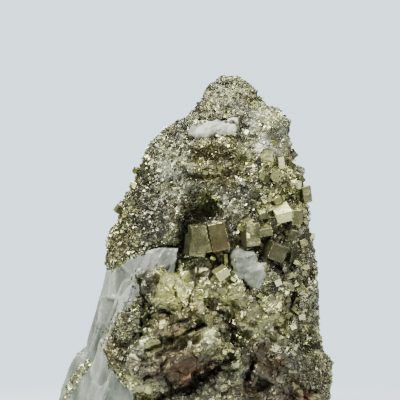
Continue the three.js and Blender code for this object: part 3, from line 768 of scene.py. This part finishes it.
def turns(count):
    """Random turns, as matrices."""
    w, x, y, z = unit(rng.normal(size=(count, 4))).T
    rows = [
        [1 - 2 * (y * y + z * z), 2 * (x * y - z * w), 2 * (x * z + y * w)],
        [2 * (x * y + z * w), 1 - 2 * (x * x + z * z), 2 * (y * z - x * w)],
        [2 * (x * z - y * w), 2 * (y * z + x * w), 1 - 2 * (x * x + y * y)],
    ]
    return np.array(rows).transpose(2, 0, 1)


def lying(normals, tilt):
    """Axes whose third lies along each normal, tilted at random, and is turned at random."""
    third = unit(normals + tilt * rng.normal(size=normals.shape))
    first = unit(np.cross(third, rng.normal(size=normals.shape)))
    return np.stack([first, np.cross(third, first), third], 2)


def scattered(skin, weight, count):
    """Places and normals scattered over a skin's triangles by area and weight."""
    a, b, c = (skin[0][skin[1][:, k]] for k in range(3))
    cross = np.cross(b - a, c - a)
    share = np.cumsum(np.linalg.norm(cross, axis=1) * weight)
    pick = np.searchsorted(share / share[-1], rng.random(count))
    s, t = np.sort(rng.random((2, count, 1)), axis=0)
    return a[pick] * s + b[pick] * (t - s) + c[pick] * (1 - t), unit(cross[pick])


def grains(name, places, normals, sizes, uneven, sink, material, tone, stance=None, form=CUBE):
    """Many small crystals as one mesh, each as uneven as it is told to be.

    Sizes are one edge, or three, for each. A stance is each one's own axes, as columns.
    """
    count = len(places)
    corners, sides = form
    sizes = sizes.reshape(count, -1) * np.ones(3)
    shape = corners * (1 + uneven * (rng.random((count, 1, 3)) - 0.5))
    shape = shape + uneven * 0.25 * (rng.random((count, len(corners), 3)) - 0.5)
    stance = turns(count) if stance is None else stance
    shape = np.einsum("nij,nkj->nki", stance, shape * sizes[:, None])
    vertices = shape + (places - normals * (sizes[:, 2:] * sink))[:, None]
    vertices[..., 2] = np.maximum(vertices[..., 2], 0.02)
    faces = sides + len(corners) * np.arange(count)[:, None, None]
    masks = masks_at(places)[0]
    masks["tone"] = np.clip(masks["tone"] + tone, 0, 1)
    masks = {key: np.repeat(values, len(corners)) for key, values in masks.items()}
    piece(name, vertices.reshape(-1, 3), faces.reshape(-1, sides.shape[1]), material, masks)


def grow(
    name, skin, share, count, edges, rarer, tones=(0, 1), uneven=0.3, sink=0.1, upright=False, clear_of=()
):
    """Cubes turned at random over a skin, clear of blocks, or corners of cubes that stand upright.

    Edges and tones go from one number to another, and the higher `rarer` is the rarer are large ones.
    """
    places, normals = scattered(skin, share, count)
    clear = ~within(places, clear_of, 0.25)
    places, normals = places[clear], normals[clear]
    sizes = edges[0] + (edges[1] - edges[0]) * rng.random(len(places)) ** rarer
    tone = tones[0] + (tones[1] - tones[0]) * rng.random(len(places)) ** 1.5
    stance, form = (lying(normals, 0.45), CORNER) if upright else (None, CUBE)
    grains(name, places, normals, sizes, uneven, sink, crust_look, tone, stance, form)


def shards(share, count):
    """Flat shards that lie along the massive part."""
    places, normals = scattered(rock, share, count)
    long, wide = rng.random((2, count)) ** 1.6
    sizes = np.stack([1.2 + 2.4 * long, 1.0 + 1.8 * wide, np.ones(count)], 1)
    tone = 0.4 * rng.random(count)
    grains("shards", places, normals, sizes, 0.5, 0.36, rock_look, tone, lying(normals, 0.24))


def chips(share, count):
    """Small uneven chips between the shards."""
    places, normals = scattered(rock, share, count)
    sizes = 0.3 + 0.6 * rng.random(count) ** 3
    grains("broken_grains", places, normals, sizes, 0.9, 0.3, rock_look, rng.random(count) ** 1.3)


blocks = standing_blocks()
rock, massive, hidden = build_rock(blocks)
middle, facing = faces_of(rock)
x, z = middle[:, 0] - ZERO, middle[:, 2]
face_massive = massive[rock[1]].mean(1)
seen = ~hidden[rock[1]].any(1)
towards = ramp(facing, -0.5, 0.1)
crust, on_massive = (1 - face_massive) * seen, face_massive * seen
front, behind = crust * (0.02 + towards), crust * (1.05 - towards)
corners_up = {"tones": (0.1, 0.8), "sink": 0.05, "upright": True}
for index in (1, 2):
    grow(f"finest_crust_{index}", rock, front, 40500, (0.36, 0.96), 2.5, **corners_up)
grow("fine_crust", rock, front, 9000, (0.36, 1.26), 3.0, clear_of=blocks)
grow("fine_back_crust", rock, behind, 17000, (0.7, 1.8), 2.0, **corners_up)
grow("back_crust", rock, behind, 3200, (0.6, 1.8), 2.2, sink=0.3, clear_of=blocks)

# Coarser crystals stand out of the crust on the right flank, and a few along the left edge.
right = ramp(x, 18, 32) * ramp(-middle[:, 1], -8, 4) * ramp(z, 20, 60) * (1 - ramp(z, 92, 100))
left = ramp(-x, 14, 20) * ramp(z, 55, 65) * (1 - ramp(z, 88, 96))
flanks = crust * (right + 0.1 * left) * towards
grow("coarse_crust", rock, flanks, 1720, (1.0, 2.5), 2.2, uneven=0.35, sink=0.25, clear_of=blocks)

shards(on_massive, 160)
chips(on_massive, 600)
lining = np.max([beside(x, z, path, half, 2 * half) for path, half, _ in LINED], 0)
grow("dark_crystals", rock, on_massive * lining, 800, (0.5, 1.4), 2.0, clear_of=blocks)

# ---- large crystals ----

STEPS = np.array([-1, -0.9, -0.45, 0, 0.45, 0.9, 1])  # lines across a standing crystal


def gridded_cube():
    """A cube from -1 to 1 with a grid on each face: points and squares."""
    count = len(STEPS)
    u, v = np.repeat(STEPS, count), np.tile(STEPS, count)
    first = (count * np.arange(count - 1)[:, None] + np.arange(count - 1)).ravel()
    square = np.stack([first, first + count, first + count + 1, first + 1], 1)
    points, squares = [], []
    for axis in range(3):
        for side in (-1, 1):
            squares.append((square if side > 0 else square[:, ::-1]) + len(u) * len(points))
            points.append(np.roll(np.stack([np.full(len(u), side), u, v], 1), axis, 1))
    merged, which = np.unique(np.round(np.concatenate(points), 3), axis=0, return_inverse=True)
    return merged, which.ravel()[np.concatenate(squares)]


def standing_crystals(blocks):
    """The crystals that stand out of the crust, with narrow bevels and slightly uneven faces."""
    grid, squares = gridded_cube()
    side = np.abs(grid).argmax(1) + 3 * (grid.max(1) >= 1)
    wear_and_highlight = 0.12 * ((np.abs(grid) > 0.95).sum(1) > 1)
    vertices, faces, looks = [], [], []
    for index, (centre, axes, half) in enumerate(blocks):
        bevel = 0.07 * half.min()
        box = grid * half
        core = np.clip(box, bevel - half, half - bevel)
        shape = core + bevel * unit(box - core)
        for cut in unit(rng.normal(size=(3, 3))):
            reach = shape @ cut
            kept = (0.62 + 0.25 * rng.random()) * reach.max()
            shape = shape - np.maximum(reach - kept, 0)[:, None] * cut
        shape *= 1 + 0.03 * layered(shape + 10 * index, 1.6, 340)[:, None]
        lit = hashed(np.stack([side, side * 0 + index, side * 0], 1), 35)
        tone = STANDING[index][3] - 0.15 + 0.9 * (lit - 0.5)
        rust = 0.5 * layered(shape + 10 * index, 2.5, 350) - 0.1
        vertices.append(centre + shape @ axes.T)
        faces.append(squares + len(grid) * index)
        across = shape[:, index % 3] + 7 * index
        looks.append([np.maximum(tone, 0), across, np.maximum(rust, 0), wear_and_highlight, wear_and_highlight * 0])
    masks = dict(zip(("tone", "across", "rust", "wear_and_highlight", "dark_and_shade"), np.concatenate(looks, 1)))
    vertices, faces = np.concatenate(vertices), np.concatenate(faces)
    piece("standing_crystals", vertices, faces, cube_look, masks)


# How bright each cube's faces are beside their tarnish: the others' tone is PLAIN_TONE.
CUBE_TONES = {
    "pyrite_cube_bright": 0.95, "pyrite_cube_shoulder": 0.6, "pyrite_cube_right": 0.3,
    "pyrite_cube_striated": 0.08,
}
PLAIN_TONE = 0.23

# The seam between the pair's two cubes, darkened with painted shade, and the right one's top edge, with a
# painted highlight.
PAIR_SEAM = [(7, 71.5), (8.5, 63)]
PAIR_EDGE = [(7, 71.6), (13.5, 73.6)]


def striated_cube(name):
    """A large cube, or several grown together: crisp, with fine grooves along each face."""
    points, faces = skin_of([name], CUBE_VOXEL)
    normals = normals_of(points, faces)
    tree = tree_of([name])
    ways = unit(np.array([tree.find_nearest(Vector(point))[1] for point in points]))
    kinds, which = np.unique(np.round(ways, 2), axis=0, return_inverse=True)
    which = which.ravel()
    along = np.zeros_like(points)
    for index, way in enumerate(kinds):
        square = [other for other in kinds if abs(other @ way) < 0.02]
        along[which == index] = unit(np.cross(way, square[index % len(square)] if square else (0, 0.3, 1)))
    across = (points * along).sum(1)
    groove = np.maximum(0, noise(np.stack([across, which * 3.7, across * 0], 1), 0.55, 300))
    flat = ramp((normals * ways).sum(1), 0.96, 0.998)
    rise = 0.05 * layered(points, 2, 320) - 0.02 * flat * groove
    face_tone = hashed(np.stack([which, which * 0, which * 0 + 5], 1), 33)
    tone = CUBE_TONES.get(name, PLAIN_TONE) + 0.3 * (face_tone - 0.5)
    rust = 0.35 * layered(points, 3.5, 330)
    wear_and_highlight = 0.04 * (1 - flat)
    dark_and_shade = np.zeros(len(points))
    if name == "pyrite_cube_pair":
        x, z = points[:, 0] - ZERO, points[:, 2]
        (x1, z1), (x2, z2) = PAIR_SEAM
        beyond = x - x1 - (x2 - x1) * (z - z1) / (z2 - z1)
        # Painted shade along the seam between the pair's cubes, over a shallow groove.
        dark_and_shade = 1 - ramp(np.abs(beyond), 0.12, 0.4)
        rust = rust + 0.75 * ramp(beyond, 0, 0.3)
        rise = rise - 0.7 * dark_and_shade
        # A painted highlight along the right cube's top edge.
        wear_and_highlight = np.maximum(wear_and_highlight, beside(x, z, PAIR_EDGE, 0.15, 0.5))
    rust = np.clip(rust, 0, 1)
    masks = {"tone": tone, "rust": rust, "wear_and_highlight": wear_and_highlight, "dark_and_shade": dark_and_shade, "across": across + which}
    moved = points + normals * rise[:, None]
    piece(name + "_faces", moved, faces, cube_look, masks, [name])


standing_crystals(blocks)
for name in CUBES:
    striated_cube(name)

# ---- fluorite ----

LEAN = math.radians(22)  # how far the fluorite's blades lean to the left going down

# Faces of the leaning fluorite's front: outline, how far each stands out, its slope to the right
# and upwards, and how milky and how frosted it is.
BLADES = [
    ([(-28, 57), (-25, 56.5), (-24.5, 48), (-28, 47)], 0.3, (0.15, 0), 0.5, 0.3),
    ([(-28.5, 47.5), (-27, 46), (-31, 32), (-34, 26), (-35, 29), (-31, 42)], 0.5, (0.1, 0), 0.35, 0.2),
    ([(-26.5, 47), (-21.5, 47), (-24.5, 38), (-31, 25), (-33, 26), (-28, 40)], -0.5, (-0.2, 0), 0.1, 0),
    ([(-25.2, 50), (-23.6, 59), (-23, 48), (-25.2, 47.5)], 0.5, (0.2, 0), 0.55, 0.5),
    ([(-23.4, 57.3), (-17.8, 57.5), (-18.3, 52.5), (-21.2, 47.8), (-23.6, 48)],
     -0.3, (-0.15, 0.1), 0.25, 0.15),
    ([(-17, 53), (-18, 48), (-27, 32.5), (-24.5, 40), (-21, 48)], 0.9, (0.1, 0), 0.7, 0.9),
    ([(-28, 34), (-26, 32.5), (-28, 23), (-30, 18.5), (-32.5, 19), (-30, 28)], 0.6, (0.15, 0), 0.6, 0.4),
    ([(-26, 32.5), (-24, 23), (-28, 16), (-30, 18.5), (-27.8, 24)], -0.3, (-0.2, 0), 0.25, 0.1),
    ([(-36, 29), (-33, 26), (-38.5, 18), (-43, 0), (-49, 0), (-44, 16)], 0.4, (0.15, 0), 0.3, 0.1),
    ([(-33, 25.5), (-31.5, 20), (-37, 0), (-43, 0), (-38.5, 18)], -0.2, (-0.1, 0), 0.3, 0.2),
    ([(-24, 23.5), (-27.5, 14), (-31, 0), (-37, 0), (-31.5, 19.5), (-27.5, 18)], 0.5, (0.1, 0), 0.5, 0.5),
    ([(-24, 23.5), (-20, 23), (-14, 10), (-14, 0), (-31, 0), (-27.5, 13)], -0.4, (-0.15, 0.1), 0.1, 0),
    ([(-22, 59.5), (-11.5, 65), (-9.5, 62), (-10, 57), (-18, 55), (-20, 57)], 0.4, (0, 0.15), 0.5, 0.4),
    ([(-9.5, 63), (-4, 66), (-1, 61.5), (-8.5, 56)], -0.2, (0, -0.1), 0.3, 0.2),
]
LEFT_FACE = [(-26.6, 57), (-34.1, 28.8)]  # the flat face that its left side ends at, above its foot


def cleaved(name, made_name, material, voxel, blade, relief, rounding, ragged, milk, blades=()):
    """A fluorite crystal split into leaning blades about `blade` wide, with stepped faces."""
    points, faces = skin_of([name], voxel)
    points = smoothed(points, faces, rounding)
    normals = normals_of(points, faces)
    along = points[:, 0] * math.sin(LEAN) + points[:, 2] * math.cos(LEAN)
    across = points[:, 0] * math.cos(LEAN) - points[:, 2] * math.sin(LEAN)
    across = across + 0.12 * blade * layered(points, 6 * blade, 402)
    bladed = np.stack([across / blade, points[:, 1] / (2.2 * blade), along / (4.5 * blade)], 1)
    leaning, border, height = facets(bladed, 1.0, 400)
    splintered, _, splinter = facets(bladed * (2.6, 1.5, 2.1), 1.0, 430)
    rise = relief * (0.30 * (height - 0.6) + 0.45 * leaning) + ragged * layered(points, 4, 460)
    fine = relief * (0.08 * splintered + 0.05 * (splinter - 0.5))
    fine = fine + ragged * (0.2 * layered(points, 1, 470) + 0.25 * crumpled(points, 1.3, 475))
    milky = milk + 0.5 * (height - 0.5)
    edged = 0.1 if ragged else 0.4
    frost = edged * (1 - ramp(border, 0.02, 0.14)) + ramp(layered(points, 9, 440), 0.25, 0.7)
    wavy = layered(points, 6, 450)
    x, z = points[:, 0] - ZERO, points[:, 2]
    wandered = x + 0.4 * wavy
    facing = ramp(-normals[:, 1], 0.1, 0.4)
    for outline, out, (right, up), cloudy, frosted in blades:
        share = inside(wandered, z, outline) * facing
        centre = np.mean(outline, 0)
        plane = out + right * (x - centre[0]) + up * (z - centre[1])
        edge = beside(wandered, z, outline + outline[:1], 0.1, 0.7)
        rise = rise + share * (plane - rise)
        milky = milky + share * (cloudy + 0.15 * wavy - milky)
        frost = frost + share * (frosted * (0.7 + 0.5 * wavy) + 0.45 * edge - frost)
    rise = smoothed(rise[:, None], faces, 2)[:, 0]
    foot = ramp(points[:, 2], 0.3, 2.0)
    moved = points + normals * ((rise + fine) * foot)[:, None]
    if blades:
        (x1, z1), (x2, z2) = LEFT_FACE
        face = x1 + (x2 - x1) * (moved[:, 2] - z1) / (z2 - z1) + ZERO + 0.3 * wavy
        moved[:, 0] = np.where(moved[:, 2] > z2, np.maximum(moved[:, 0], face), moved[:, 0])
    moved[:, 2] = np.where(points[:, 2] < 0.4, 0, np.maximum(moved[:, 2], 0))
    masks = {"milk": np.clip(milky, 0, 1), "frost": np.clip(frost, 0, 1)}
    piece(made_name, moved, faces, material, masks, [name], smooth=True)
    return moved, faces


plates = cleaved(
    "fluorite_mass", "fluorite_plates", pale_look, FLUORITE_VOXEL,
    blade=4.4, relief=4.4, rounding=0, ragged=0, milk=0.3, blades=BLADES,
)
band = cleaved(
    "fluorite_band", "fluorite_band_crystal", white_look, SMALL_FLUORITE_VOXEL,
    blade=3.6, relief=1.8, rounding=16, ragged=0.8, milk=0.5,
)
step = cleaved(
    "fluorite_step", "fluorite_step_crystal", clouded_look, SMALL_FLUORITE_VOXEL,
    blade=4.4, relief=2.4, rounding=3, ragged=0.8, milk=0.1,
)

# Where pyrite has grown over the fluorite: a golden seam low on its left, its top edge, an outline
# beside the rock with specks along its upper left, and the right end of the step.
SEAM = [(-42.5, 9), (-40, 14.5), (-37.5, 18.8), (-34.8, 22.7), (-33, 25)]
TOP_EDGE = [(-22.5, 59), (-11.5, 65.2), (-3, 66.8)]
OVERGROWN = [
    (-15, 54.5), (-14.5, 50.5), (-16.5, 46), (-20.5, 42), (-23.5, 38), (-26, 32), (-24, 25.5),
    (-19.5, 25), (-18, 21), (-14.7, 17), (-13.5, 8), (-13, 2), (-6, 2), (-6, 50), (-12, 56),
]
SPECKED = OVERGROWN[:6]
STEP_OVERGROWN = [
    (23, 64), (23, 60), (25.8, 59), (25.8, 54), (24, 51.8), (20, 50.5), (20, 47), (31, 47), (31, 64),
]

middle, facing = faces_of(plates)
x, z = middle[:, 0] - ZERO + 1.2 * layered(middle, 3, 480), middle[:, 2]
seam = beside(x, z, SEAM, 0.3, 1.6) * (facing > 0.2) * (noise(middle, 3, 481) > -0.5)
over = inside(x, z, OVERGROWN) * (facing > -0.4)
edge = beside(x, z, TOP_EDGE, 0.2, 1.4) * (noise(middle, 2.5, 482) > -0.4)
specks = beside(x, z, SPECKED, 0, 4.5) * (facing > 0.2)
grow("seam_crystals", plates, seam, 360, (0.35, 1.15), 2, (0.5, 0.9))
grow("border_crust", plates, over, 5200, (0.7, 1.4), 2, (-0.1, 0.9), upright=True)
grow("border_crystals", plates, over, 800, (0.5, 1.5), 2, (0.1, 0.9))
grow("top_edge_crust", plates, edge, 700, (0.5, 1.2), 2, (0, 0.9), upright=True)
grow("fluorite_specks", plates, specks, 260, (0.25, 0.75), 2, (0, 0.9))
for name, skin, start, count in (("band_rim", band, 0.55, 420), ("step_rim", step, 0.85, 260)):
    middle, facing = faces_of(skin)
    proud = ramp(skin[0][:, 1].min() + 3 - middle[:, 1], 0, 1.5)
    low, high = middle.min(0), middle.max(0)
    outward = np.linalg.norm(((2 * middle - low - high) / (high - low))[:, [0, 2]], axis=1)
    rim = (1 - ramp(facing, 0.0, 0.5)) * proud * ramp(outward, start, start + 0.1)
    grow(name, skin, rim, count, (0.4, 1.1), 2, (0.2, 0.9))
middle, facing = faces_of(step)
x = middle[:, 0] - ZERO + 0.5 * layered(middle, 2, 490)
over = inside(x, middle[:, 2], STEP_OVERGROWN) * (facing > 0)
grow("step_crust", step, over, 900, (0.6, 1.4), 2, (0, 0.9), upright=True)

# ---- floor, light and camera ----

# Soft lights, in metres: place, sides, power and colour.
LIGHTS = {
    "key": ((-0.35, -0.45, 0.62), (0.4, 0.3), 17, (0.985, 1, 0.89)),
    "fill": ((0.6, -0.4, 0.25), (0.4, 0.5), 4, (1, 1, 1)),
    "top": ((0.1, 0.1, 0.75), (0.5, 0.5), 8, (0.985, 1, 0.9)),
    "back": ((0.1, 0.7, 0.3), (0.6, 0.4), 5, (1, 1, 1)),
}
AIM = Vector((0, 0, 0.06))  # what they are turned towards
CAMERA = (4.76, -510, 79.9)  # in millimetres, with x as for places on the front
LENS = 135


def floor():
    """A pale floor that fades into the backdrop."""
    bpy.ops.mesh.primitive_circle_add(vertices=96, radius=0.6, fill_type="NGON")
    made = bpy.context.object
    made.name = "floor"
    g = Graph(bpy.data.materials.new("floor"))
    away = g.add("VectorMath", {"operation": "LENGTH"}, "Value", i0=g.add("TexCoord", out="Object"))
    fade = g.ramp(away, 0.05, 0.16)
    shaded = g.add("MixShader", i0=fade, i1=g.shader.outputs[0], i2=g.add("BsdfTransparent"))
    g.put(g.output, "Surface", shaded)
    g.shade(Base_Color=(0.78, 0.82, 0.85, 1), Roughness=0.9)
    made.data.materials.append(g.owner)


def world():
    """A pale backdrop, seen by half through fluorite, and a dim grey one that lights it all."""
    made = bpy.data.worlds.new("studio")
    bpy.context.scene.world = made
    g = Graph(made)
    pale = g.add("Background", Color=(0.72, 0.88, 1.0, 1), Strength=2.2)
    grey = g.add("Background", Color=(0.87, 0.87, 0.87, 1), Strength=0.25)
    through = g.math("MULTIPLY", g.add("LightPath", out="Is Transmission Ray"), 0.5)
    share = g.math("ADD", through, g.add("LightPath", out="Is Camera Ray"))
    g.put(g.output, "Surface", g.add("MixShader", i0=share, i1=grey, i2=pale))


def area_light(name, place, sides, power, colour):
    """A soft light at a place, turned towards the specimen."""
    data = bpy.data.lights.new(name, "AREA")
    data.shape = "RECTANGLE"
    data.size, data.size_y = sides
    data.energy = power
    data.color = colour
    lamp = linked(name, data)
    lamp.location = place
    lamp.rotation_euler = (AIM - Vector(place)).to_track_quat("-Z", "Y").to_euler()


def camera():
    """A long lens that looks straight at the front."""
    data = bpy.data.cameras.new("camera")
    data.lens = LENS
    data.sensor_width = 36
    made = linked("camera", data)
    made.location = [(at + shift) * MM for at, shift in zip(CAMERA, (ZERO, 0, 0))]
    made.rotation_euler = (math.pi / 2, 0, 0)
    bpy.context.scene.camera = made


floor()
world()
for name, settings in LIGHTS.items():
    area_light(name, *settings)
camera()
